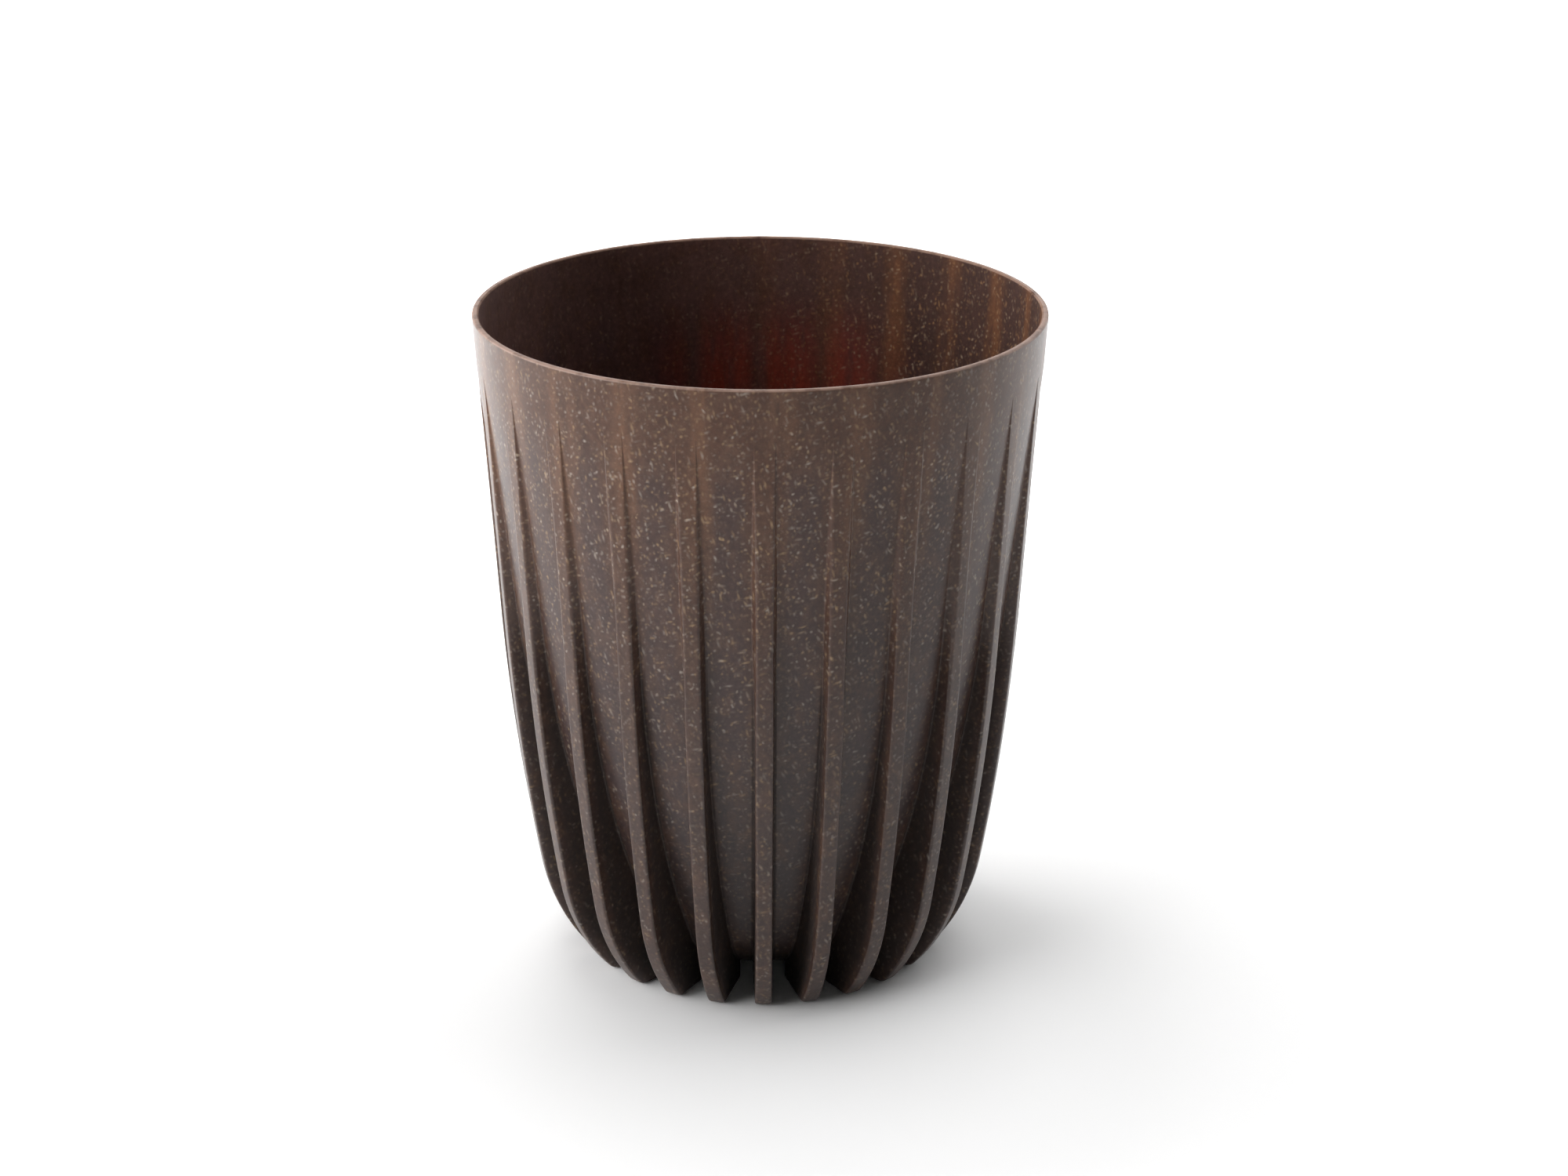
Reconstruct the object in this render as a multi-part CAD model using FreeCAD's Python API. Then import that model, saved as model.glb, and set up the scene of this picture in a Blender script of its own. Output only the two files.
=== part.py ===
"""Ribbed flower pot moulded in wood-fibre composite.

A thin tapered pot stands on a ring of upright fins.  Outside, the fins keep the line
of the rim band all the way down, while the bowl between them draws in towards a
rounded floor.  At the floor the fins are the feet.

Millimetres, +Z up, origin on the ground at the pot's axis.  The front is -Y.
Heights are measured from the ground.  Angles of a wall are measured from upright.
"""
import FreeCAD
import Part
import math
import os

# Overall size
rim_diameter = 180.0
height = 215.0
wall = 2.1
lip_round = 0.7

# Outside line, which the rim band and the fins share
draft_angle = 3.65          # straight upper part
belly_height = 116.0        # straight part ends
knee_height = 33.5          # slow curve ends
knee_angle = 10.2
foot_angle = 43.0           # lean of a fin where it meets the ground

# Bowl between the fins
fade_drop = 13.0            # from the rim down to where the bowl leaves the outside line
fade_length = 8.0           # height of the bend with which it leaves
flank_angle = 6.3           # straight part below that bend
flank_foot_height = 128.0   # straight part ends
waist_height = 84.0
waist_angle = 11.6
hip_seam_angle = 19.4       # lean where the hip wall passes into the lower wall
heel_height = 19.0
heel_angle = 28.0
ground_gap = 4.0            # under the bowl's floor

# Fins
fin_count = 24
fin_width_top = 6.2
fin_width_foot = 5.4
fin_side_draft = 1.0        # each side, thicker towards the bowl
foot_length = 18.0          # flat part of a foot, along the radius
overrun = 5.0               # how far a cutting block reaches past what it cuts

UPRIGHT = FreeCAD.Vector(0, 0, 1)
AXIS_FOOT = FreeCAD.Vector(0, 0, 0)
LEVEL = 90.0


class Bend:
    """A round stretch of a wall's outline that turns inwards on its way down."""

    def __init__(self, start, start_angle, end_height, end_angle):
        self.start_angle = start_angle
        self.end_angle = end_angle
        turn = sin(end_angle) - sin(start_angle)
        self.radius = (start[1] - end_height) / turn
        self.centre = (
            start[0] - self.radius * cos(start_angle),
            start[1] + self.radius * sin(start_angle),
        )

    def point(self, angle, inset=0.0):
        """Radius and height where the wall leans by angle, inset from the outside."""
        reach = self.radius - inset
        return (self.centre[0] + reach * cos(angle), self.centre[1] - reach * sin(angle))

    def start(self, inset=0.0):
        return self.point(self.start_angle, inset)

    def end(self, inset=0.0):
        return self.point(self.end_angle, inset)

    def angle_at_radius(self, radius):
        return math.degrees(math.acos((radius - self.centre[0]) / self.radius))

    def edge(self, first, last, inset=0.0):
        """Arc between two leans, drawn from first to last."""
        middle = (first + last) / 2
        ends = [self.point(angle, inset) for angle in (first, middle, last)]
        return Part.Arc(*[in_section(end) for end in ends]).toShape()

    def whole(self, inset=0.0):
        return self.edge(self.start_angle, self.end_angle, inset)

    def back(self, inset=0.0):
        return self.edge(self.end_angle, self.start_angle, inset)


def sin(angle):
    return math.sin(math.radians(angle))


def cos(angle):
    return math.cos(math.radians(angle))


def tan(angle):
    return math.tan(math.radians(angle))


def in_section(point):
    """Place a (radius, height) point in the section plane through the front."""
    return FreeCAD.Vector(0, -point[0], point[1])


def line(first, last):
    return Part.makeLine(in_section(first), in_section(last))


def section(edges):
    return Part.Face(Part.Wire(edges))


def spin(face):
    return face.revolve(AXIS_FOOT, UPRIGHT, 360)


def tapered_radius(level):
    """Outside radius of the straight upper part at a height."""
    return rim_radius - (height - level) * tan(draft_angle)


rim_radius = rim_diameter / 2

# Outside line below the straight part
belly = Bend((tapered_radius(belly_height), belly_height), draft_angle, knee_height, knee_angle)
shin = Bend(belly.end(), knee_angle, 0, foot_angle)
foot_radius = shin.end()[0]
foot_inner_radius = foot_radius - foot_length

# Bowl, from the rim band down to its floor
fade_height = height - fade_drop
fin_top_height = fade_height - fade_length
fade = Bend((tapered_radius(fade_height), fade_height), draft_angle, fin_top_height, flank_angle)
flank_foot_radius = fade.end()[0] - (fin_top_height - flank_foot_height) * tan(flank_angle)
waist = Bend((flank_foot_radius, flank_foot_height), flank_angle, waist_height, waist_angle)
hip = Bend(waist.end(), waist_angle, heel_height, heel_angle)
heel = Bend(hip.end(), heel_angle, ground_gap, LEVEL)


def rim_band():
    """Smooth band above the fins, with its lip rounded on both edges."""
    lip_outer = (rim_radius, height)
    lip_inner = (rim_radius - wall / cos(draft_angle), height)
    band = spin(section([
        line(lip_outer, fade.start()),
        line(fade.start(), fade.start(wall)),
        line(fade.start(wall), lip_inner),
        line(lip_inner, lip_outer),
    ]))
    at_top = [edge for edge in band.Edges if edge.BoundBox.ZMin > height - lip_round]
    return band.makeFillet(lip_round, at_top).Solids[0]


def upper_wall():
    """Upper stretch of the bowl's side: its fade from the rim band and straight flank."""
    return spin(section([
        fade.whole(),
        line(fade.end(), waist.start()),
        line(waist.start(), waist.start(wall)),
        line(waist.start(wall), fade.end(wall)),
        fade.back(wall),
        line(fade.start(wall), fade.start()),
    ]))


def round_wall(bend, first, last):
    """Stretch of the bowl's side along a bend, between two of its leans."""
    return spin(section([
        bend.edge(first, last),
        line(bend.point(last), bend.point(last, wall)),
        bend.edge(last, first, wall),
        line(bend.point(first, wall), bend.point(first)),
    ]))


def bowl_floor():
    """Rounded bottom of the bowl with its flat floor."""
    return spin(section([
        heel.whole(),
        line(heel.end(), (0, ground_gap)),
        line((0, ground_gap), (0, ground_gap + wall)),
        line((0, ground_gap + wall), heel.end(wall)),
        heel.back(wall),
        line(heel.start(wall), heel.start()),
    ]))


def fin_section():
    """Face between the outside line and the bowl, from a fin's top end to its foot."""
    top_inner = fade.end()
    top_outer = (tapered_radius(fin_top_height), fin_top_height)
    back_angle = heel.angle_at_radius(foot_inner_radius)
    back_top = heel.point(back_angle)
    back_foot = (foot_inner_radius, 0)
    return section([
        line(top_inner, top_outer),
        line(top_outer, belly.start()),
        belly.whole(),
        shin.whole(),
        line(shin.end(), back_foot),
        line(back_foot, back_top),
        heel.edge(back_angle, heel_angle),
        hip.back(),
        waist.back(),
        line(waist.start(), top_inner),
    ])


def fin_block():
    """Wedge with the fin's two flat sides, which thicken inwards and upwards."""
    half_top = fin_width_top / 2
    half_foot = fin_width_foot / 2
    inward = tan(fin_side_draft)
    run = tapered_radius(fin_top_height) - foot_radius
    upward = (half_top - half_foot + inward * run) / fin_top_height
    far = rim_radius + overrun
    low = -overrun
    tall = height + overrun

    def corner(side, radius, level):
        half = half_foot + inward * (foot_radius - radius) + upward * level
        return FreeCAD.Vector(side * half, -radius, level)

    def panel(*corners):
        return Part.Face(Part.makePolygon([*corners, corners[0]]))

    left = [corner(-1, *end) for end in ((0, low), (far, low), (far, tall), (0, tall))]
    right = [corner(1, *end) for end in ((0, low), (far, low), (far, tall), (0, tall))]
    panels = [panel(*left), panel(*right)]
    for here in range(len(left)):
        ahead = (here + 1) % len(left)
        panels.append(panel(left[here], left[ahead], right[ahead], right[here]))
    return Part.makeSolid(Part.makeShell(panels))


def front_fin():
    """The fin at the front, as one pitch of the fin ring trimmed to its two sides."""
    pitch = 360 / fin_count
    slice_of_ring = fin_section()
    slice_of_ring.rotate(AXIS_FOOT, UPRIGHT, -pitch / 2)
    ring = slice_of_ring.revolve(AXIS_FOOT, UPRIGHT, pitch)
    return ring.common(fin_block()).Solids[0]


def pieces():
    """Every named piece of the pot with its solid."""
    yield "rim_band", rim_band()
    yield "upper_wall", upper_wall()
    yield "waist_wall", round_wall(waist, flank_angle, waist_angle)
    yield "hip_wall", round_wall(hip, waist_angle, hip_seam_angle)
    yield "lower_wall", round_wall(hip, hip_seam_angle, heel_angle)
    yield "bowl_floor", bowl_floor()
    fin = front_fin()
    for number in range(fin_count):
        turned = fin.copy()
        turned.rotate(AXIS_FOOT, UPRIGHT, number * 360 / fin_count)
        yield f"fin_{number + 1:02d}", turned


os.makedirs("parts", exist_ok=True)
for name, shape in pieces():
    shape.exportStep(f"parts/{name}.step")
    print(name, "valid" if shape.isValid() else "broken", round(shape.Volume), "mm3")
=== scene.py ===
"""Looks of the ribbed flower pot: its skin meshes, its fibre composite and a plain studio.

Metres, +Z up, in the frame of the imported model.  The front is -Y.
"""
import math

import bpy
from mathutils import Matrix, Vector


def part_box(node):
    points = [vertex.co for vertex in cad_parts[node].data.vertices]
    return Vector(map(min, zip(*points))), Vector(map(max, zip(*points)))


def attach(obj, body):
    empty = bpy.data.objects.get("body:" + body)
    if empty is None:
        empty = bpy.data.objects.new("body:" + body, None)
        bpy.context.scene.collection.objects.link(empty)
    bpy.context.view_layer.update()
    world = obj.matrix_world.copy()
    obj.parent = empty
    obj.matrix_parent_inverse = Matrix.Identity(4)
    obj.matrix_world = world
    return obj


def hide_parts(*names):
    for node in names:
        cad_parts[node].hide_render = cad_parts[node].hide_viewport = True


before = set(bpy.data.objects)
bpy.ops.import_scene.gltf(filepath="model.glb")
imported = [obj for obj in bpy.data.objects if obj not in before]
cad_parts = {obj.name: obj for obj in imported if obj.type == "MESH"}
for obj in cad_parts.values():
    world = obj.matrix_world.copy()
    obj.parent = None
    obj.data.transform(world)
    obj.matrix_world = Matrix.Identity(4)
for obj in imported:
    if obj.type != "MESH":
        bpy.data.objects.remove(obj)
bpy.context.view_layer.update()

MM = 0.001

# Outside line, which the rim band and the fins share
RIM_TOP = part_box("rim_band")[1].z
RIM_RADIUS = 90.0 * MM
WALL = 2.1 * MM
DRAFT = math.radians(3.65)
BELLY_HEIGHT = 116.0 * MM
KNEE_HEIGHT = 33.5 * MM
KNEE_LEAN = math.radians(10.2)
FOOT_LEAN = math.radians(43.0)

# Bowl between the fins
FADE_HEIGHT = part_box("rim_band")[0].z
FLANK_LEAN = math.radians(6.3)
FLANK_FOOT_HEIGHT = 128.0 * MM
WAIST_HEIGHT = 84.0 * MM
WAIST_LEAN = math.radians(11.6)
HIP_SEAM_LEAN = math.radians(19.4)
HEEL_HEIGHT = 19.0 * MM
HEEL_LEAN = math.radians(28.0)
GROUND_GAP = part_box("bowl_floor")[0].z

# Fins
FIN_NAMES = sorted(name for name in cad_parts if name.startswith("fin_"))
FIN_COUNT = len(FIN_NAMES)
PITCH = 2 * math.pi / FIN_COUNT
FIN_TOP_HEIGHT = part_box(FIN_NAMES[0])[1].z
FIN_WIDTH_TOP = 6.2 * MM
FIN_WIDTH_FOOT = 5.4 * MM
FIN_SIDE_DRAFT = math.radians(1.0)
FOOT_LENGTH = 18.0 * MM

# Small roundings of the moulding
LIP_ROUND = 0.7 * MM
FIN_EDGE_REACH = 0.8 * MM         # from a fin's edge to where its rounding starts
FIN_ROOT_REACH = 0.4 * MM
FIN_REACH_SHARE = 0.35            # of a shallow fin's side, at most
FIN_BACK_REACH = 0.4 * MM         # at the inner end of a foot
SHALLOW_LEAN = math.radians(36)   # slope of a fin's sides where it rises from the bowl
SHALLOW_DEPTH = 1.2 * MM          # fin depth down to which that slope holds
STEEP_DEPTH = 5.0 * MM            # fin depth from which its sides are steep
FACE_SHARE = 0.35                 # of the slope's width, taken off the fin's face
FOOT_ROUND = 1.8 * MM
FIN_START_DEPTH = 0.02 * MM       # a fin's skin starts almost flush
FIN_SINK = 0.06 * MM              # how far its root lies inside the bowl's skin

# Shallow sink marks inside the wall, behind the fins
SINK_DEPTH = 0.45 * MM
SINK_HALF_WIDTH = 2.4 * MM
SINK_TOP = 196.0 * MM
SINK_FULL = 168.0 * MM

# Mesh fineness
STEPS_PER_PITCH = 16
AROUND = FIN_COUNT * STEPS_PER_PITCH
BEND_STEPS = 18
FADE_STEPS = 8
BAND_STEPS = 8
ROUND_STEPS = 6
DISC_RINGS = 10
FIN_STATIONS = 84
STATION_EASE = 0.15               # how much closer the stations lie at a fin's ends
FIN_FACE_STEPS = 4                # over half of a fin's face
FIN_SIDE_STEPS = 6
FOOT_STEPS = 6


class Bend:
    """A round stretch of a wall's outline that turns inwards on its way down."""

    def __init__(self, start, start_lean, end_height, end_lean):
        self.start_lean = start_lean
        self.end_lean = end_lean
        self.radius = (start[1] - end_height) / (math.sin(end_lean) - math.sin(start_lean))
        self.centre = (
            start[0] - self.radius * math.cos(start_lean),
            start[1] + self.radius * math.sin(start_lean),
        )

    def point(self, lean, inset=0.0):
        reach = self.radius - inset
        return (self.centre[0] + reach * math.cos(lean), self.centre[1] - reach * math.sin(lean))

    def end(self):
        return self.point(self.end_lean)

    def stretch(self, first, last, steps, inset=0.0):
        """Points between two leans."""
        return [self.point(first + (last - first) * i / steps, inset) for i in range(steps + 1)]

    def points(self, steps, inset=0.0):
        return self.stretch(self.start_lean, self.end_lean, steps, inset)

    def radius_at(self, height):
        lean_sine = (self.centre[1] - height) / self.radius
        return self.centre[0] + self.radius * math.sqrt(max(0.0, 1 - lean_sine * lean_sine))


def tapered_radius(height):
    """Outside radius of the straight upper part at a height."""
    return RIM_RADIUS - (RIM_TOP - height) * math.tan(DRAFT)


belly = Bend((tapered_radius(BELLY_HEIGHT), BELLY_HEIGHT), DRAFT, KNEE_HEIGHT, KNEE_LEAN)
shin = Bend(belly.end(), KNEE_LEAN, 0.0, FOOT_LEAN)
fade = Bend((tapered_radius(FADE_HEIGHT), FADE_HEIGHT), DRAFT, FIN_TOP_HEIGHT, FLANK_LEAN)


def flank_radius(height):
    """Radius of the bowl's straight stretch at a height."""
    return fade.end()[0] - (FIN_TOP_HEIGHT - height) * math.tan(FLANK_LEAN)


waist = Bend((flank_radius(FLANK_FOOT_HEIGHT), FLANK_FOOT_HEIGHT), FLANK_LEAN, WAIST_HEIGHT, WAIST_LEAN)
hip = Bend(waist.end(), WAIST_LEAN, HEEL_HEIGHT, HEEL_LEAN)
heel = Bend(hip.end(), HEEL_LEAN, GROUND_GAP, math.pi / 2)
FOOT_RADIUS = shin.end()[0]
FOOT_INNER_RADIUS = FOOT_RADIUS - FOOT_LENGTH


def outside_radius(height):
    """Radius of the fins' outer edge at a height."""
    if height >= BELLY_HEIGHT:
        return tapered_radius(height)
    if height >= KNEE_HEIGHT:
        return belly.radius_at(height)
    return shin.radius_at(height)


def bowl_radius(height):
    """Radius of the bowl's outside at a height, or of a foot's inner end below it."""
    if height >= FIN_TOP_HEIGHT:
        return fade.radius_at(height)
    if height >= FLANK_FOOT_HEIGHT:
        return flank_radius(height)
    if height >= WAIST_HEIGHT:
        return waist.radius_at(height)
    if height >= HEEL_HEIGHT:
        return hip.radius_at(height)
    if height > GROUND_GAP:
        return max(FOOT_INNER_RADIUS, heel.radius_at(height))
    return FOOT_INNER_RADIUS


def fin_half_width(radius, height):
    """Half a fin's thickness: its sides thicken inwards and upwards."""
    inward = math.tan(FIN_SIDE_DRAFT)
    run = tapered_radius(FIN_TOP_HEIGHT) - FOOT_RADIUS
    upward = (FIN_WIDTH_TOP / 2 - FIN_WIDTH_FOOT / 2 + inward * run) / FIN_TOP_HEIGHT
    return FIN_WIDTH_FOOT / 2 + inward * (FOOT_RADIUS - radius) + upward * height


def smooth_step(value):
    value = min(1.0, max(0.0, value))
    return value * value * (3 - 2 * value)


def new_piece(name, points, faces, creases=()):
    """Add a mesh piece with smooth shading, sharp only along the creases."""
    mesh = bpy.data.meshes.new(name)
    mesh.from_pydata(points, [], faces)
    mesh.validate()
    mesh.shade_smooth()
    wanted = {tuple(sorted(edge)) for edge in creases}
    for edge in mesh.edges:
        if tuple(sorted(edge.vertices)) in wanted:
            edge.use_edge_sharp = True
    piece = bpy.data.objects.new(name, mesh)
    bpy.context.scene.collection.objects.link(piece)
    return piece


def sink_mark(angle, radius, height):
    """How far the inside is drawn outwards behind a fin."""
    off_fin = (angle / PITCH + 0.5) % 1.0 - 0.5
    across = off_fin * PITCH * radius / SINK_HALF_WIDTH
    grown = smooth_step((SINK_TOP - height) / (SINK_TOP - SINK_FULL))
    return SINK_DEPTH * grown * math.exp(-across * across)


def ring_piece(name, outline, inside_from, corners):
    """Turn a closed outline of (radius, height) points round the axis.

    Points from inside_from on belong to the inside and carry the sink marks.
    Outline points at the places in corners keep a sharp edge.
    """
    count = len(outline)
    points = []
    for step in range(AROUND):
        angle = 2 * math.pi * step / AROUND
        for place, (radius, height) in enumerate(outline):
            if place >= inside_from:
                radius = radius + sink_mark(angle, radius, height)
            points.append((radius * math.sin(angle), -radius * math.cos(angle), height))
    faces = []
    creases = []
    for step in range(AROUND):
        here = step * count
        ahead = (step + 1) % AROUND * count
        for place in range(count):
            after = (place + 1) % count
            faces.append((here + after, here + place, ahead + place, ahead + after))
        creases += [(here + place, ahead + place) for place in corners]
    return new_piece(name, points, faces, creases)


def rounded_corner(corner, before, after, radius):
    """Points of an arc that rounds an outline's corner, tangent to both its sides."""
    ways = []
    for other in (before, after):
        length = math.hypot(other[0] - corner[0], other[1] - corner[1])
        ways.append(((other[0] - corner[0]) / length, (other[1] - corner[1]) / length))
    opening = math.acos(ways[0][0] * ways[1][0] + ways[0][1] * ways[1][1])
    reach = radius / math.tan(opening / 2)
    middle = (ways[0][0] + ways[1][0], ways[0][1] + ways[1][1])
    length = math.hypot(*middle)
    depth = radius / math.sin(opening / 2)
    centre = (corner[0] + middle[0] / length * depth, corner[1] + middle[1] / length * depth)
    first = (corner[0] + ways[0][0] * reach - centre[0], corner[1] + ways[0][1] * reach - centre[1])
    last = (corner[0] + ways[1][0] * reach - centre[0], corner[1] + ways[1][1] * reach - centre[1])
    turn = math.pi - opening
    arc = []
    for step in range(ROUND_STEPS + 1):
        share = step / ROUND_STEPS
        a = math.sin((1 - share) * turn) / math.sin(turn)
        b = math.sin(share * turn) / math.sin(turn)
        arc.append((centre[0] + a * first[0] + b * last[0], centre[1] + a * first[1] + b * last[1]))
    return arc


def soft_corner(corner, before, after, reach):
    """Points of the arc that starts at a distance, the reach, before an outline's corner."""
    first = math.atan2(before[1] - corner[1], before[0] - corner[0])
    last = math.atan2(after[1] - corner[1], after[0] - corner[0])
    opening = math.acos(math.cos(first - last))
    return rounded_corner(corner, before, after, reach * math.tan(opening / 2))


def between(first, last, steps):
    """Points that divide the way from first to last into steps, without its ends."""
    return [
        (first[0] + (last[0] - first[0]) * i / steps, first[1] + (last[1] - first[1]) * i / steps)
        for i in range(1, steps)
    ]


def make_rim_band():
    """Smooth band under the rim, with its lip rounded on both edges."""
    low_outer = fade.point(DRAFT)
    low_inner = fade.point(DRAFT, WALL)
    lip_outer = (RIM_RADIUS, RIM_TOP)
    lip_inner = (RIM_RADIUS - WALL / math.cos(DRAFT), RIM_TOP)
    outer_arc = rounded_corner(lip_outer, low_outer, lip_inner, LIP_ROUND)
    inner_arc = rounded_corner(lip_inner, lip_outer, low_inner, LIP_ROUND)
    outline = [low_outer]
    outline += between(low_outer, outer_arc[0], BAND_STEPS)
    outline += outer_arc
    outline += inner_arc
    inside_from = len(outline) - 1
    outline += between(inner_arc[-1], low_inner, BAND_STEPS)
    outline.append(low_inner)
    return ring_piece("rim_band_skin", outline, inside_from, (0, len(outline) - 1))


def wall_outlines(inset):
    """One side of each stretch of the bowl's wall, from the rim band down."""
    top = fade.points(FADE_STEPS, inset)
    flank_foot = waist.point(FLANK_LEAN, inset)
    return {
        "upper_wall": top + between(top[-1], flank_foot, BEND_STEPS) + [flank_foot],
        "waist_wall": waist.points(BEND_STEPS, inset),
        "hip_wall": hip.stretch(WAIST_LEAN, HIP_SEAM_LEAN, BEND_STEPS, inset),
        "lower_wall": hip.stretch(HIP_SEAM_LEAN, HEEL_LEAN, BEND_STEPS, inset),
    }


def make_bowl_ring(name, outside, inside):
    """One stretch of the bowl's side, between its outer and its inner outline."""
    outline = outside[::-1] + inside
    count = len(outside)
    return ring_piece(name, outline, count, (0, count - 1, count, len(outline) - 1))


def make_bowl_floor():
    """Rounded bottom: a ring for the heel, closed by a flat disc on each side."""
    outside = heel.points(BEND_STEPS)
    inside = heel.points(BEND_STEPS, WALL)
    lower = outside + between(outside[-1], (0.0, outside[-1][1]), DISC_RINGS)
    upper = inside + between(inside[-1], (0.0, inside[-1][1]), DISC_RINGS)
    count = len(lower)
    points = []
    for step in range(AROUND):
        angle = 2 * math.pi * step / AROUND
        for place, (radius, height) in enumerate(lower + upper):
            if count <= place <= count + BEND_STEPS:
                share = 1 - (place - count) / BEND_STEPS
                radius = radius + sink_mark(angle, radius, height) * share
            points.append((radius * math.sin(angle), -radius * math.cos(angle), height))
    low_hub = len(points)
    top_hub = low_hub + 1
    points += [(0.0, 0.0, outside[-1][1]), (0.0, 0.0, inside[-1][1])]
    faces = []
    creases = []
    span = 2 * count
    for step in range(AROUND):
        here = step * span
        ahead = (step + 1) % AROUND * span
        for place in range(count - 1):
            faces.append((here + place, here + place + 1, ahead + place + 1, ahead + place))
            top = place + count
            faces.append((here + top + 1, here + top, ahead + top, ahead + top + 1))
        faces.append((here + count, here, ahead, ahead + count))
        faces.append((ahead + count - 1, here + count - 1, low_hub))
        faces.append((here + span - 1, ahead + span - 1, top_hub))
        creases += [(here, ahead), (here + count, ahead + count)]
    return new_piece("bowl_floor_skin", points, faces, creases)


def fin_cross_section(height, inset):
    """Closed outline of a fin at a height, as (outwards, sideways) points.

    It runs from the left root over the outer face to the right root, and back along the
    bowl.  The inset draws all of it in, for the rounded bottom of the foot.
    """
    def on_circle(radius, across):
        return (math.sqrt(radius * radius - across * across), across)

    outer = outside_radius(height) - inset
    inner = bowl_radius(height)
    on_bowl = height > GROUND_GAP and inner > FOOT_INNER_RADIUS
    depth = outer - inner
    steep = smooth_step((depth - SHALLOW_DEPTH) / (STEEP_DEPTH - SHALLOW_DEPTH))
    slope_width = depth * math.tan(SHALLOW_LEAN * (1 - steep))
    face_half = fin_half_width(outer, height) - inset - FACE_SHARE * slope_width
    root_half = fin_half_width(inner, height) - inset + (1 - FACE_SHARE) * slope_width
    edge = on_circle(outer, face_half)
    if on_bowl:
        root = on_circle(inner, root_half)
        beyond = on_circle(inner, 2 * root_half)
    else:
        root = (inner + inset, root_half)
        beyond = (inner + inset, 0.0)
    side_length = math.hypot(edge[0] - root[0], edge[1] - root[1])
    edge_reach = min(FIN_EDGE_REACH, FIN_REACH_SHARE * side_length)
    root_reach = min(FIN_ROOT_REACH if on_bowl else FIN_BACK_REACH, FIN_REACH_SHARE * side_length)
    edge_arc = soft_corner(edge, on_circle(outer, face_half / 2), root, edge_reach)
    root_arc = soft_corner(root, edge, beyond, root_reach)
    half_side = [on_circle(outer, edge_arc[0][1] * i / FIN_FACE_STEPS) for i in range(FIN_FACE_STEPS)]
    half_side += edge_arc + between(edge_arc[-1], root_arc[0], FIN_SIDE_STEPS) + root_arc
    last_out, last_side = half_side[-1]
    if on_bowl:
        half_side.append((last_out - FIN_SINK, last_side))
    else:
        half_side.append((last_out, last_side / 2))
    mirrored = [(out, -side) for out, side in half_side[:0:-1]]
    return mirrored + half_side


def fin_heights():
    """Heights and insets of the fin's stations, closer together near its top end and its foot."""
    top = FADE_HEIGHT - math.sqrt(2 * fade.radius * FIN_START_DEPTH)
    heights = []
    for i in range(FIN_STATIONS + 1):
        share = i / FIN_STATIONS
        eased = (1 - STATION_EASE) * share + STATION_EASE * smooth_step(share)
        heights.append((top + (FOOT_ROUND - top) * eased, 0.0))
    for i in range(1, FOOT_STEPS + 1):
        turn = math.pi / 2 * i / FOOT_STEPS
        heights.append((FOOT_ROUND * (1 - math.sin(turn)), FOOT_ROUND * (1 - math.cos(turn))))
    return heights


def make_fin(name, angle, sections):
    """A fin's skin through its cross-sections, at an angle round the axis."""
    outward = (math.sin(angle), -math.cos(angle))
    sideways = (math.cos(angle), math.sin(angle))
    points = []
    for height, outline in sections:
        for out, side in outline:
            points.append((
                outward[0] * out + sideways[0] * side,
                outward[1] * out + sideways[1] * side,
                height,
            ))
    count = len(sections[0][1])
    faces = [tuple(range(count))]
    for station in range(len(sections) - 1):
        here = station * count
        below = here + count
        for place in range(count):
            after = (place + 1) % count
            faces.append((here + after, here + place, below + place, below + after))
    last = (len(sections) - 1) * count
    faces.append(tuple(reversed(range(last, last + count))))
    creases = [(place, (place + 1) % count) for place in range(count)]
    return new_piece(name, points, faces, creases)


class Value:
    """A shader socket that takes part in Python sums."""

    def __init__(self, finish, socket):
        self.finish = finish
        self.socket = socket

    def maths(self, operation, *values):
        return self.finish.node("ShaderNodeMath", {"operation": operation}, dict(enumerate(values)))

    def __add__(self, other):
        return self.maths("ADD", self, other)

    def __sub__(self, other):
        return self.maths("SUBTRACT", self, other)

    def __rsub__(self, other):
        return self.maths("SUBTRACT", other, self)

    def __mul__(self, other):
        return self.maths("MULTIPLY", self, other)

    __radd__ = __add__
    __rmul__ = __mul__

    def other(self, output):
        """Another output of the node that this value comes from."""
        return Value(self.finish, self.socket.node.outputs[output])

    def between(self, low, high):
        """0 below low, 1 above high and a smooth rise between; low may be the larger."""
        return self.finish.node(
            "ShaderNodeMapRange", {"interpolation_type": "SMOOTHSTEP"},
            {"Value": self, "From Min": low, "From Max": high},
        )


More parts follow.
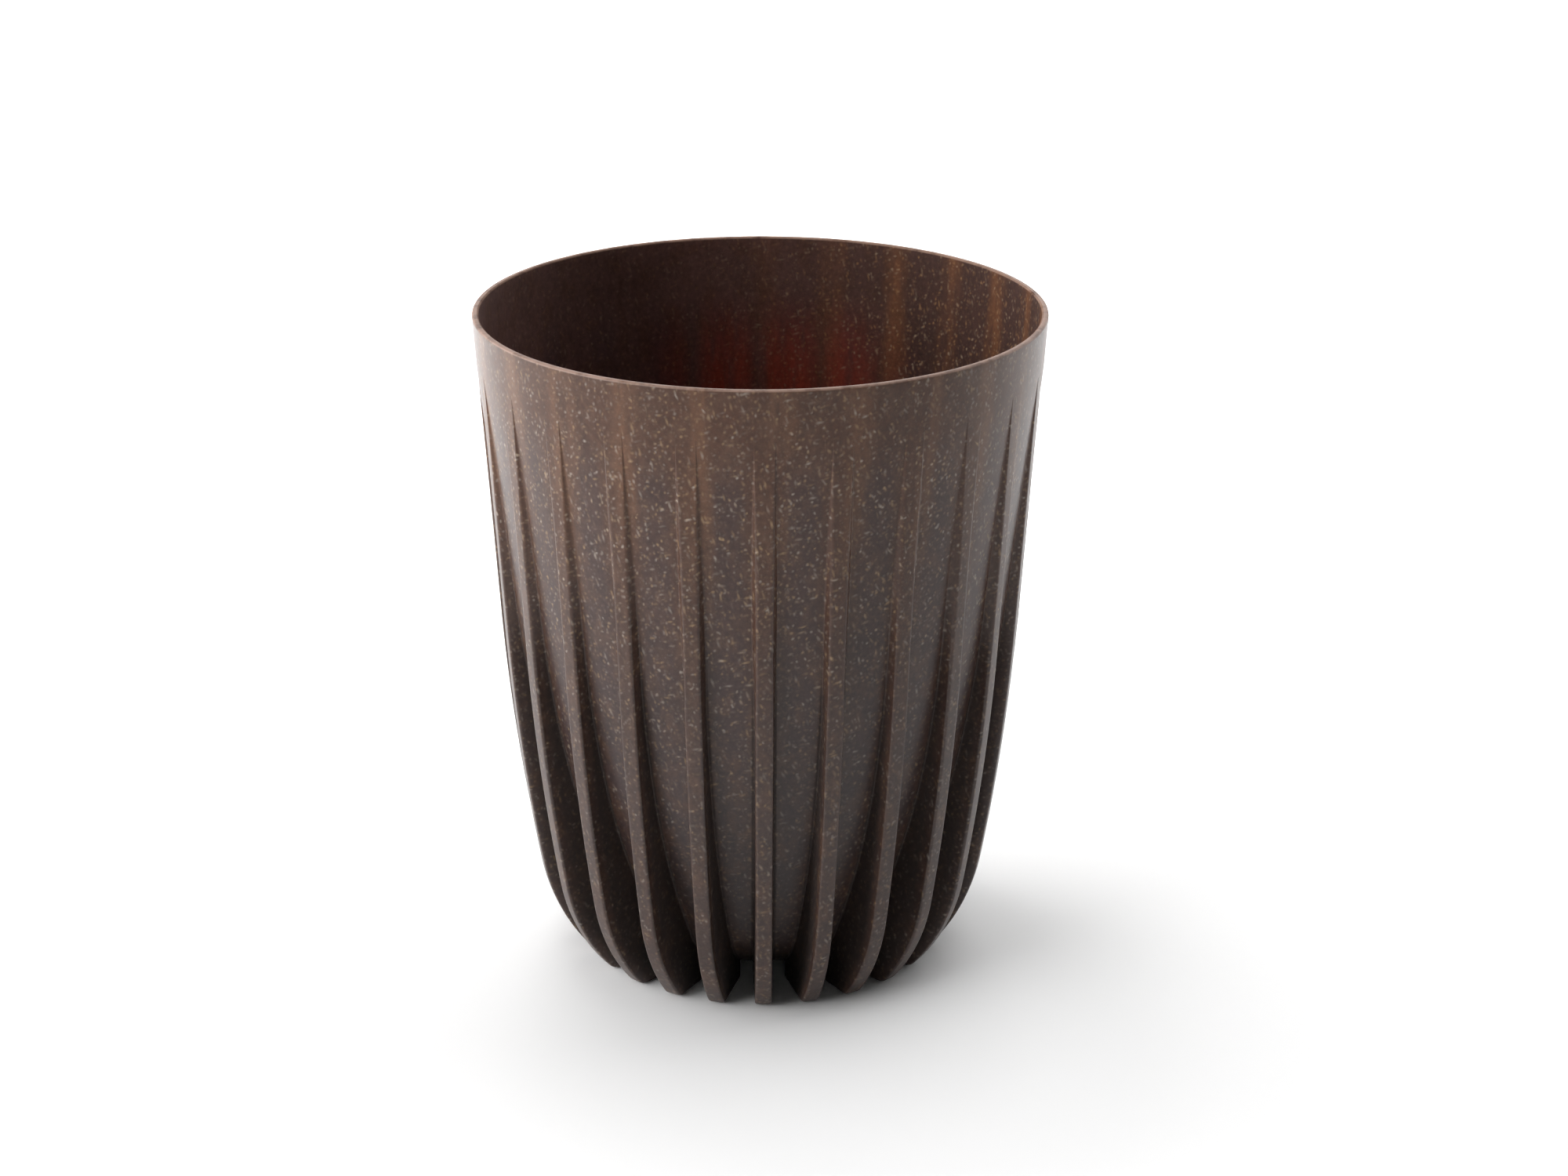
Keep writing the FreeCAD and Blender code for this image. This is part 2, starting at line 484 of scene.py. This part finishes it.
class Finish:
    """A material whose nodes are added by expressions."""

    def __init__(self, name):
        self.material = bpy.data.materials.new(name)
        self.material.use_nodes = True
        self.tree = self.material.node_tree
        self.shader = self.tree.nodes["Principled BSDF"]

    def node(self, kind, settings, values, output=0):
        """Add a node: its settings are set first, then its sockets' values or links."""
        made = self.tree.nodes.new(kind)
        for key, setting in settings.items():
            setattr(made, key, setting)
        for key, value in values.items():
            self.feed(made.inputs[key], value)
        return Value(self, made.outputs[output])

    def feed(self, socket, value):
        """Link a value to a socket, or set a plain one on it."""
        if isinstance(value, Value):
            self.tree.links.new(value.socket, socket)
        else:
            socket.default_value = value

    def mixed(self, factor, first, second, blend="MIX"):
        """Mix two colours."""
        settings = {"data_type": "RGBA", "blend_type": blend}
        return self.node("ShaderNodeMix", settings, {0: factor, 6: first, 7: second}, 2)

    def place(self):
        """The place on the pot, in millimetres."""
        at = self.node("ShaderNodeTexCoord", {}, {}, "Object")
        return self.node("ShaderNodeVectorMath", {"operation": "SCALE"}, {0: at, "Scale": 1 / MM})

    def stretched(self, at, scale, turn=(0.0, 0.0, 0.0)):
        """The place turned and then scaled, so that a texture is drawn out along one way."""
        turned = self.node(
            "ShaderNodeVectorRotate", {"rotation_type": "EULER_XYZ"},
            {"Vector": at, "Rotation": turn},
        )
        return self.vectors("MULTIPLY", turned, scale)

    def vectors(self, operation, first, second):
        """Sum or product of two vectors, part by part."""
        return self.node("ShaderNodeVectorMath", {"operation": operation}, {0: first, 1: second})

    def bent(self, at, size, reach):
        """The place moved by a soft wave, so that what is laid on it bends."""
        wave = self.noise(self.stretched(at, (1 / size, 1 / size, 1 / size)), 1.0, 0.5).other("Color")
        aside = self.vectors("SUBTRACT", wave, (0.5, 0.5, 0.5))
        return self.vectors("ADD", at, self.vectors("MULTIPLY", aside, (reach, reach, reach)))

    def noise(self, at, detail, roughness):
        return self.node(
            "ShaderNodeTexNoise", {"noise_dimensions": "3D"},
            {"Vector": at, "Scale": 1.0, "Detail": detail, "Roughness": roughness},
        )


def srgb(red, green, blue):
    """Linear colour of an sRGB value given from 0 to 255."""
    def linear(part):
        part = part / 255
        return part / 12.92 if part <= 0.04045 else ((part + 0.055) / 1.055) ** 2.4
    return (linear(red), linear(green), linear(blue), 1.0)


# Fibres and grains of wood in the moulding, in millimetres: the spacing of one layer across and
# along its fibres, half a fibre's thickness as a share of the spacing, how strongly the layer
# shows, and the layers' turns
FIBRE_KINDS = {
    "fibre": {
        "across": 2.1,
        "along": 6.4,
        "half_share": 0.33,
        "strength": 0.95,
        "turns": [(0.3, 0.2, 0.1), (1.2, 0.5, 2.1), (0.7, 1.9, 0.6), (2.4, 0.9, 1.4)],
    },
    "grain": {
        "across": 1.8,
        "along": 2.6,
        "half_share": 0.36,
        "strength": 0.95,
        "turns": [(1.7, 2.6, 2.8), (2.9, 1.3, 0.4), (0.9, 0.4, 1.1)],
    },
    "strand": {
        "across": 1.3,
        "along": 4.2,
        "half_share": 0.38,
        "strength": 0.2,
        "turns": [(0.2, 1.1, 1.9), (2.2, 2.0, 0.7)],
    },
}
FIBRE_CORE = -0.1                 # share of the spacing at which a fibre would cover fully
FIBRE_TINTS = (0.3, 0.8)          # of a fibre's own value, from tan to pale
FIBRE_BEND_SIZE = 3.0             # size of the waves that bend the fibres, and their reach
FIBRE_BEND_REACH = 1.0
FIBRE_LOW_SHARE = 0.6             # of the fibres that show low down
# Fewer fibres show on the inside's left, as painted shade
FIBRE_SHADED_LEFT_SHARE = 0.45           # of the fibres that show on the left of the inside
BAND_HEIGHTS = (185.0, 203.0)     # where the fibres thin out towards the rim band
BAND_THINNING = 0.25

# Noises of the composite: their size in millimetres, their detail and their roughness
NOISES = {
    "cloud": ((14.0, 14.0, 30.0), 2.0, 0.5),
    "flow": ((5.0, 5.0, 60.0), 2.0, 0.5),
    "blotch": ((6.0, 6.0, 9.0), 3.0, 0.6),
    "mottle": ((1.5, 1.5, 1.8), 3.0, 0.6),
    "grain": ((0.35, 0.35, 0.35), 2.0, 0.6),
}
NOISE_MIDDLE = 0.5

# Ranges from nothing to the full tone.  Heights, depths and widths are in millimetres,
# distances from a fin's middle in pitches, and the others are values of a noise.
COOL_OFF_FIN = (0.16, 0.36)
COOL_HEIGHTS = (199.0, 180.0)
BLOTCH_NOISE = (0.42, 0.7)
STREAK_OFF_LINE = (0.3, 0.04)
STREAK_FLOW = (0.25, 0.6)
STREAK_RISE = 55.0                # height over which the streaks grow to their full tone
STREAK_WAVER = 0.4
# Painted red light through the wall, on the back of the inside
GLOW_OFF_FIN = (-0.12, 0.3)
GLOW_FLOW = (0.1, 0.55)
GLOW_HEIGHTS = (200.0, 164.0)
GLOW_BACK = (15.0, 60.0)
GLOW_MIDDLE = 6.0                 # to the right of the axis
GLOW_HALF_WIDTH = (52.0, 16.0)
# Painted shade, on the sides of the fins and low between the feet
SIDE_DEPTH = (1.0, 5.0)           # behind the outside line, on the sides of the fins
SIDE_HALF_WIDTH = (4.2, 3.4)
PAINTED_SHADE_DEPTH = (3.0, 10.0)          # low between the feet
PAINTED_SHADE_HEIGHTS = (22.0, 8.0)
KNEE_SWITCH = (33.0, 34.0)        # from the shin's bend to the belly's
# The lip's lighter tone: partly wear, partly a painted highlight
LIP_DROPS = (0.75, 0.25)          # below the rim's top
LIP_BLOTCH = (0.2, 0.6)

# How strongly they change the fibres, the shade, the roughness and the relief
# Fewer fibres and painted shade on the fins' sides, where shade falls
SIDE_SHADE_THINNING = 0.55
SIDE_PAINTED_SHADE = 0.5
SIDE_DULLNESS = 0.35
MOTTLE_SHADE = 1.0
CLOUD_SHADE = 0.5
LIP_WEAR_AND_HIGHLIGHT = 0.8
LIP_DULLNESS = 0.2
MOTTLE_DULLNESS = 0.1
FIBRE_DULLNESS = 0.1
GRAIN_RELIEF = 0.35
MOTTLE_RELIEF = 0.6
FIBRE_RELIEF = 0.5
RELIEF_STRENGTH = 0.3
RELIEF_DEPTH = 0.08 * MM
PLASTIC_IOR = 1.5


class Composite(Finish):
    """Dark satin wood-fibre composite with pale fibres and upright streaks."""

    def __init__(self, name, palette):
        super().__init__(name)
        self.palette = palette
        self.at = self.place()
        self.x = self.node("ShaderNodeSeparateXYZ", {}, {0: self.at})
        self.y = self.x.other("Y")
        self.z = self.x.other("Z")
        self.turn = self.x.maths("ARCTAN2", self.x, 0.0 - self.y) * (1 / PITCH)
        self.off_fin = self.off_lines(self.turn)
        self.noises = {}
        for kind, (size, detail, roughness) in NOISES.items():
            scale = tuple(1 / side for side in size)
            self.noises[kind] = self.noise(self.stretched(self.at, scale), detail, roughness)
        self.high = self.z.between(palette["low"], palette["high"])
        grown = FIBRE_LOW_SHARE + (1 - FIBRE_LOW_SHARE) * self.high
        thinned = 1.0 - BAND_THINNING * self.z.between(*BAND_HEIGHTS)
        self.density = palette["fibre"] * grown * thinned
        self.dull = 0.0
        self.paint()

    def off_lines(self, turn):
        """Distance from the nearest of the lines that stand one pitch apart, in pitches."""
        return turn.maths("ABSOLUTE", turn.maths("WRAP", turn, 0.5, -0.5))

    def paint(self):
        """Lay the tones over each other, from the base to the lip's wear and painted highlight, and set
        the surface.
        """
        colour = self.with_streaks(self.base_tones())
        # Painted red light through the wall
        if "glow" in self.palette:
            colour = self.with_painted_glow(colour)
        # Painted shade on the fins' sides and low between the feet
        if "dark" in self.palette:
            colour = self.with_painted_shade(colour)
        colour, cover = self.with_fibres(self.shaded(colour))
        # The lip is lighter in blotches: partly wear, partly a painted highlight
        lip_from, lip_full = [RIM_TOP / MM - drop for drop in LIP_DROPS]
        lip = self.z.between(lip_from, lip_full)
        wear_and_highlight = lip * self.noises["blotch"].between(*LIP_BLOTCH) * LIP_WEAR_AND_HIGHLIGHT
        self.feed(self.shader.inputs["Base Color"], self.mixed(wear_and_highlight, colour, self.palette["lip"]))
        self.set_surface(cover, lip)

    def base_tones(self):
        """Tones by height, cooler between the fins, with blotches."""
        palette = self.palette
        colour = self.mixed(self.high, palette["low_colour"], palette["high_colour"])
        cool = self.off_fin.between(*COOL_OFF_FIN) * self.z.between(*COOL_HEIGHTS)
        colour = self.mixed(cool * palette["cool_amount"], colour, palette["cool"])
        blotch = self.noises["blotch"].between(*BLOTCH_NOISE)
        return self.mixed(blotch * palette["blotch_amount"], colour, palette["blotch"])

    def with_streaks(self, colour):
        """Warm upright streaks near the fins.  On the inside they are partly painted light and lie only
        towards the right, where the lamps fall; there the inside also gets painted shade, and fewer
        fibres show on its shaded left.
        """
        palette = self.palette
        waver = STREAK_WAVER * (self.noises["cloud"] - NOISE_MIDDLE)
        near = (self.off_lines(self.turn - palette["warm_shift"]) + waver).between(*STREAK_OFF_LINE)
        risen = self.z.between(palette["warm_from"], palette["warm_from"] + STREAK_RISE)
        warm = near * self.noises["flow"].between(*STREAK_FLOW) * risen
        # On the inside: streaks of painted light only on the right, painted shade (dim) there too,
        # fewer fibres on the left
        if "lamp_side" in palette:
            side = self.x.between(*palette["lamp_side"])
            warm = warm * side
            self.density = self.density * (FIBRE_SHADED_LEFT_SHARE + (1 - FIBRE_SHADED_LEFT_SHARE) * side)
            colour = self.mixed(side * palette["lamp_side_shade_amount"], colour, palette["dim"])
        return self.mixed(warm * palette["warm_amount"], colour, palette["warm"])

    def with_painted_glow(self, colour):
        """Painted red light, as if it shone through the wall, low on the back of the inside."""
        streaked = self.off_fin.between(*GLOW_OFF_FIN) * self.noises["flow"].between(*GLOW_FLOW)
        aside = self.x.maths("ABSOLUTE", self.x - GLOW_MIDDLE).between(*GLOW_HALF_WIDTH)
        glow = streaked * self.z.between(*GLOW_HEIGHTS) * self.y.between(*GLOW_BACK) * aside
        return self.mixed(glow * self.palette["painted_glow_amount"], colour, self.palette["glow"])

    def depth_behind(self, bend, around):
        """How far a place lies behind a bend of the outside line, in millimetres."""
        drop = bend.centre[1] / MM - self.z
        reach = drop.maths("SQRT", (bend.radius / MM) ** 2 - drop * drop)
        return reach + bend.centre[0] / MM - around

    def with_painted_shade(self, colour):
        """Painted shade on the sides of the fins, which are also duller and show fewer fibres, and
        painted shade low between the feet.
        """
        palette = self.palette
        around = self.x.maths("SQRT", self.x * self.x + self.y * self.y)
        low_depth = self.depth_behind(shin, around)
        high_depth = self.depth_behind(belly, around)
        depth = low_depth + self.z.between(*KNEE_SWITCH) * (high_depth - low_depth)
        across = self.off_fin * around * PITCH
        # The fins' sides, which get painted shade and fewer fibres
        shaded_fin_side = depth.between(*SIDE_DEPTH) * across.between(*SIDE_HALF_WIDTH)
        self.density = self.density * (1.0 - SIDE_SHADE_THINNING * shaded_fin_side)
        self.dull = SIDE_DULLNESS * shaded_fin_side
        colour = self.mixed(shaded_fin_side * SIDE_PAINTED_SHADE, colour, palette["dark"])
        # Painted shade low between the feet
        low = depth.between(*PAINTED_SHADE_DEPTH) * self.z.between(*PAINTED_SHADE_HEIGHTS)
        return self.mixed(low * palette["dark_amount"], colour, palette["dark"])

    def shaded(self, colour):
        """Lighter and darker by the fine and the wide noise."""
        mottle = MOTTLE_SHADE * (self.noises["mottle"] - NOISE_MIDDLE)
        cloud = CLOUD_SHADE * (self.noises["cloud"] - NOISE_MIDDLE)
        value = 1.0 + mottle + cloud
        shade = self.node("ShaderNodeCombineColor", {}, {0: value, 1: value, 2: value})
        return self.mixed(1.0, colour, shade, "MULTIPLY")

    def fibre_layer(self, at, kind, turn):
        """Cover of one layer of fibres, and a value that is the same all over each fibre."""
        scale = (1 / kind["along"], 1 / kind["across"], 1 / kind["across"])
        distance = self.node(
            "ShaderNodeTexVoronoi", {"voronoi_dimensions": "3D", "feature": "F1"},
            {"Vector": self.stretched(at, scale, turn), "Scale": 1.0, "Randomness": 1.0},
        )
        own = self.node("ShaderNodeSeparateColor", {}, {0: distance.other("Color")})
        shape = distance.between(kind["half_share"], FIBRE_CORE)
        return shape * own * own, own.other("Green")

    def with_fibres(self, colour):
        """Lay the tan and pale fibres over a colour; gives the new colour and the cover."""
        palette = self.palette
        at = self.bent(self.at, FIBRE_BEND_SIZE, FIBRE_BEND_REACH)
        cover = None
        for kind in FIBRE_KINDS.values():
            for turn in kind["turns"]:
                layer, own = self.fibre_layer(at, kind, turn)
                paleness = own.between(*FIBRE_TINTS)
                tint = self.mixed(paleness, palette["fibre_tan"], palette["fibre_pale"])
                colour = self.mixed(layer * self.density * kind["strength"], colour, tint)
                cover = layer if cover is None else cover.maths("MAXIMUM", cover, layer)
        return colour, cover

    def set_surface(self, cover, lip):
        """Roughness and relief from the noises, the fibres and the lip."""
        mottle = self.noises["mottle"]
        rough = self.palette["rough"] + MOTTLE_DULLNESS * (mottle - NOISE_MIDDLE)
        rough = rough + FIBRE_DULLNESS * cover + LIP_DULLNESS * lip + self.dull
        self.feed(self.shader.inputs["Roughness"], rough)
        relief = self.noises["grain"] * GRAIN_RELIEF + mottle * MOTTLE_RELIEF + cover * FIBRE_RELIEF
        bump = self.node(
            "ShaderNodeBump", {},
            {"Strength": RELIEF_STRENGTH, "Distance": RELIEF_DEPTH, "Height": relief},
        )
        self.feed(self.shader.inputs["Normal"], bump)
        self.shader.inputs["IOR"].default_value = PLASTIC_IOR
        self.shader.inputs["Specular IOR Level"].default_value = self.palette["shine"]


# Tones of both sides of the pot, with heights and places in millimetres.  On the inside, dim is painted
# shade and the streaks are partly painted light; both lie towards the right, where the lamps fall.
OUTSIDE = {
    "low": 70.0,
    "high": 200.0,
    "low_colour": srgb(59, 45, 41),
    "high_colour": srgb(68, 42, 29),
    "cool": srgb(53, 41, 42),
    "cool_amount": 0.55,
    "warm": srgb(100, 68, 47),
    "warm_amount": 0.6,
    "warm_from": 138.0,
    "warm_shift": 0.18,
    "blotch": srgb(81, 58, 45),
    "blotch_amount": 0.45,
    # Painted shade on the fins' sides and low between the feet
    "dark": srgb(20, 16, 15),
    "dark_amount": 0.8,
    "fibre": 0.75,
    "fibre_tan": srgb(168, 139, 102),
    "fibre_pale": srgb(178, 168, 156),
    # Lip tone: partly wear, partly a painted highlight
    "lip": srgb(148, 120, 106),
    "rough": 0.36,
    "shine": 0.42,
}
INSIDE = {
    "low": 130.0,
    "high": 205.0,
    "low_colour": srgb(83, 55, 52),
    "high_colour": srgb(81, 56, 51),
    "cool": srgb(62, 44, 45),
    "cool_amount": 0.5,
    # Streaks, partly painted light, only on the lamp side; dim is painted shade there
    "warm": srgb(98, 60, 34),
    "warm_amount": 0.6,
    "warm_from": 60.0,
    "warm_shift": -0.15,
    "lamp_side": (-30.0, 70.0),
    "dim": srgb(46, 28, 22),
    "lamp_side_shade_amount": 0.8,
    # Painted red light, as if shining through the wall
    "glow": srgb(116, 42, 27),
    "painted_glow_amount": 0.9,
    "blotch": srgb(70, 43, 28),
    "blotch_amount": 0.4,
    "fibre": 0.7,
    "fibre_tan": srgb(160, 118, 78),
    "fibre_pale": srgb(168, 146, 122),
    # Lip tone: partly wear, partly a painted highlight
    "lip": srgb(136, 110, 96),
    "rough": 0.7,
    "shine": 0.12,
}


def dress(piece, node, materials, inside_test=None):
    """Give a piece its finish, let it stand for its solid and ride on the pot."""
    for material in materials:
        piece.data.materials.append(material)
    if inside_test:
        for face in piece.data.polygons:
            face.material_index = 1 if inside_test(face) else 0
    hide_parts(node)
    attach(piece, "root")


ON_AXIS = 0.001 * MM
FACING = 0.3                      # part of a face's direction from which it looks that way


def faces_axis(face):
    """Whether a face of a ring looks towards the pot's axis, or up from its floor."""
    centre = face.center
    around = math.hypot(centre.x, centre.y)
    if around < ON_AXIS:
        return face.normal.z > 0
    outwards = (face.normal.x * centre.x + face.normal.y * centre.y) / around
    faces_up = face.normal.z > FACING and centre.z < HEEL_HEIGHT
    return outwards < -FACING or faces_up


def make_pot():
    """All 30 skins, each in place of its solid."""
    outside = Composite("composite_outside", OUTSIDE).material
    inside = Composite("composite_inside", INSIDE).material
    dress(make_rim_band(), "rim_band", [outside, inside], faces_axis)
    inner_outlines = wall_outlines(WALL)
    for node, outline in wall_outlines(0.0).items():
        ring = make_bowl_ring(node + "_skin", outline, inner_outlines[node])
        dress(ring, node, [outside, inside], faces_axis)
    dress(make_bowl_floor(), "bowl_floor", [outside, inside], faces_axis)
    sections = [(height, fin_cross_section(height, inset)) for height, inset in fin_heights()]
    for number, node in enumerate(FIN_NAMES):
        dress(make_fin(node + "_skin", number * PITCH, sections), node, [outside])


# Studio, in metres
FLOOR_HALF = 8.0
FLOOR_COLOUR = (0.86, 0.86, 0.86, 1.0)
FLOOR_ROUGHNESS = 0.7
BACKDROP_RADIUS = 5.5
BACKDROP_HEIGHT = 5.0
BACKDROP_STEPS = 96
BACKDROP_GLOW = (0.8, 0.8, 0.8, 1.0)
BLACK = (0.0, 0.0, 0.0, 1.0)


def make_floor():
    half = FLOOR_HALF
    corners = [(-half, -half, 0.0), (half, -half, 0.0), (half, half, 0.0), (-half, half, 0.0)]
    floor = new_piece("studio_floor", corners, [(0, 1, 2, 3)])
    finish = Finish("pale_floor")
    finish.shader.inputs["Base Color"].default_value = FLOOR_COLOUR
    finish.shader.inputs["Roughness"].default_value = FLOOR_ROUGHNESS
    floor.data.materials.append(finish.material)


def make_backdrop():
    """Pale ring behind the floor that only the camera sees, so that it sheds no light."""
    points = []
    for step in range(BACKDROP_STEPS):
        angle = 2 * math.pi * step / BACKDROP_STEPS
        points += [
            (BACKDROP_RADIUS * math.sin(angle), BACKDROP_RADIUS * math.cos(angle), height)
            for height in (0.0, BACKDROP_HEIGHT)
        ]
    faces = []
    for step in range(BACKDROP_STEPS):
        here = 2 * step
        ahead = 2 * ((step + 1) % BACKDROP_STEPS)
        faces.append((here, ahead, ahead + 1, here + 1))
    backdrop = new_piece("studio_backdrop", points, faces)
    finish = Finish("pale_backdrop")
    finish.shader.inputs["Base Color"].default_value = BLACK
    finish.shader.inputs["Emission Color"].default_value = BACKDROP_GLOW
    finish.shader.inputs["Emission Strength"].default_value = 1.0
    backdrop.data.materials.append(finish.material)
    backdrop.visible_diffuse = False
    backdrop.visible_glossy = False
    backdrop.visible_transmission = False
    backdrop.visible_shadow = False


def aim_at(item, place, aim):
    """Put a lamp or the camera at a place and point it at another."""
    item.location = place
    item.rotation_euler = (Vector(aim) - Vector(place)).to_track_quat("-Z", "Y").to_euler()


# Soft panels round the pot: their turns to the right of the front, their rise, both in degrees,
# and how bright they are
PANELS = {
    "left": ((-120, -90), 18, 5.8),
    "left_front": ((-60,), 18, 6.8),
    "right_back": ((120, 150), 18, 2.5),
    "back": ((180, 210), 18, 2.0),
    "right": ((90,), 18, 0.9),
    "front": ((0,), 18, 0.42),
    "high_left": ((-50,), 52, 1.8),
    "high_right": ((110,), 60, 2.0),
    "top": ((0,), 88, 1.6),
}
PANEL_REACH = 6.0
PANEL_WIDTH = 3.0
PANEL_HEIGHT = 3.6

# Lamps over the floor behind the pot, which keep it white: brightness on the left (-1) and right
FLOOR_LAMPS = {-1: 3.2, 1: 1.6}
FLOOR_LAMP_SIZE = 1.2
FLOOR_LAMP_PLACE = (0.7, 0.95)
FLOOR_LAMP_HEIGHT = 1.5
FLOOR_LAMP_SPREAD = math.radians(70)
WORLD_STRENGTH = 0.1


def add_lamp(name, width, height, brightness):
    """A soft rectangular lamp; its power grows with its area, so its brightness holds."""
    lamp = bpy.data.lights.new(name, "AREA")
    lamp.shape = "RECTANGLE"
    lamp.size = width
    lamp.size_y = height
    lamp.energy = brightness * math.pi * width * height
    panel = bpy.data.objects.new(name, lamp)
    bpy.context.scene.collection.objects.link(panel)
    return panel


def add_panel(name, turn, rise, brightness):
    """A panel that looks at the middle of the pot."""
    panel = add_lamp(name, PANEL_WIDTH, PANEL_HEIGHT, brightness)
    turn = math.radians(turn)
    rise = math.radians(rise)
    place = (
        PANEL_REACH * math.cos(rise) * math.sin(turn),
        -PANEL_REACH * math.cos(rise) * math.cos(turn),
        PANEL_REACH * math.sin(rise),
    )
    aim_at(panel, place, (0.0, 0.0, RIM_TOP / 2))


def make_light():
    for name, (turns, rise, brightness) in PANELS.items():
        for turn in turns:
            add_panel(name, turn, rise, brightness)
    for side, brightness in FLOOR_LAMPS.items():
        lamp = add_lamp("floor_lamp", FLOOR_LAMP_SIZE, FLOOR_LAMP_SIZE, brightness)
        lamp.data.spread = FLOOR_LAMP_SPREAD
        x, y = FLOOR_LAMP_PLACE
        aim_at(lamp, (side * x, y, FLOOR_LAMP_HEIGHT), (side * x, y, 0.0))
    world = bpy.data.worlds.new("studio")
    bpy.context.scene.world = world
    world.use_nodes = True
    world.node_tree.nodes["Background"].inputs["Strength"].default_value = WORLD_STRENGTH


# Camera, from the pot's own outline in the picture
PICTURE_WIDTH = 2000.0
PICTURE_FOCUS = 4187.0            # focal length, in pixels of that picture
SENSOR_WIDTH = 36.0
CAMERA_REACH = 1064.0 * MM
CAMERA_RISE = math.radians(21.08)
CAMERA_SWING = math.radians(-0.82)
CAMERA_AIM = (7.57 * MM, 121.2 * MM)
CAMERA_ROLL = math.radians(0.125)


def make_camera():
    lens = bpy.data.cameras.new("camera")
    lens.sensor_width = SENSOR_WIDTH
    lens.lens = PICTURE_FOCUS / PICTURE_WIDTH * SENSOR_WIDTH
    camera = bpy.data.objects.new("camera", lens)
    bpy.context.scene.collection.objects.link(camera)
    flat = CAMERA_REACH * math.cos(CAMERA_RISE)
    place = (
        flat * math.sin(CAMERA_SWING),
        -flat * math.cos(CAMERA_SWING),
        RIM_TOP / 2 + CAMERA_REACH * math.sin(CAMERA_RISE),
    )
    aim = (
        CAMERA_AIM[0] * math.cos(CAMERA_SWING),
        CAMERA_AIM[0] * math.sin(CAMERA_SWING),
        CAMERA_AIM[1],
    )
    aim_at(camera, place, aim)
    camera.rotation_euler.rotate_axis("Z", CAMERA_ROLL)
    bpy.context.scene.camera = camera


make_pot()
make_floor()
make_backdrop()
make_light()
make_camera()
bpy.context.scene.view_settings.view_transform = "Standard"
